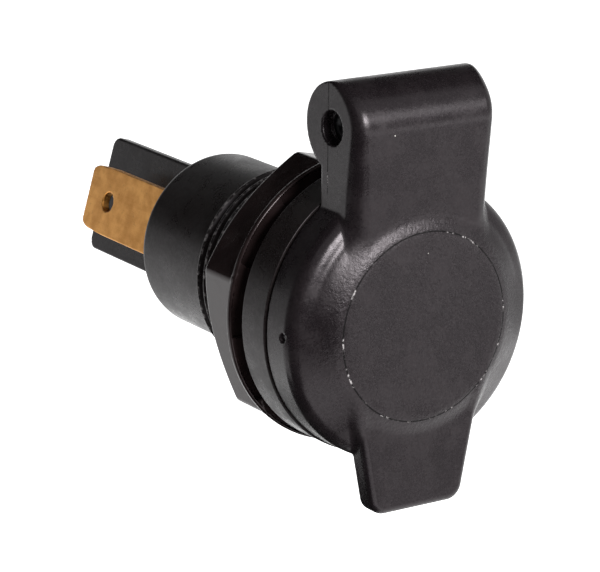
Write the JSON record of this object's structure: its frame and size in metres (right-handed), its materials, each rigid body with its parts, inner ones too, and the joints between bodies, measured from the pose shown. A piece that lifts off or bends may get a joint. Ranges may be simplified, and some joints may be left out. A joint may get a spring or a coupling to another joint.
{
  "type": "panel-mount DIN power socket",
  "caption": "Round panel-mount power socket with a threaded barrel, hexagon nut, flat brass terminals beside an insulating plate, and a sprung hinged dust lid with a finger tab.",
  "frame": {"origin": "on the barrel axis, in the plane of the flange's rear face, which seats on the panel", "axes": "+Y along the barrel toward the terminals, -Y out of the socket's mouth, +Z from the barrel axis toward the lid's hinge"},
  "size_m": [0.0252, 0.0524, 0.0367],
  "materials": {
    "housing_plastic": "satin black moulding",
    "lid_plastic": "fine leather grain on the face, satin on the rim",
    "nut_plastic": "gloss black moulding",
    "carrier_plastic": "satin black moulding",
    "terminal_brass": "plain rolled brass, slightly dulled",
    "plated_brass": "dull nickel plate",
    "pin_steel": "drawn wire",
    "spring_steel": "drawn spring wire"
  },
  "bodies": {
    "socket": {"socket_body": "housing_plastic", "sleeve_contact": "plated_brass", "contact_carrier": "carrier_plastic", "negative_blade": "terminal_brass", "positive_blade": "terminal_brass", "centre_contact": "plated_brass", "lid_spring": "spring_steel"},
    "lid": {"lid": "lid_plastic", "hinge_pin": "pin_steel"},
    "nut": {"mounting_nut": "nut_plastic"}
  },
  "joints": [
    {"name": "lid_hinge", "type": "hinge", "parent": "socket", "child": "lid", "pos_m": [0, -0.00525, 0.0169], "axis": [-1, 0, 0], "range_deg": [0, 110], "stiffness_Nm_per_rad": 0.004, "springref_deg": -57.3},
    {"name": "nut_travel", "type": "slide", "parent": "socket", "child": "nut", "axis": [0, 1, 0], "range_m": [-0.0011, 0.012]}
  ]
}
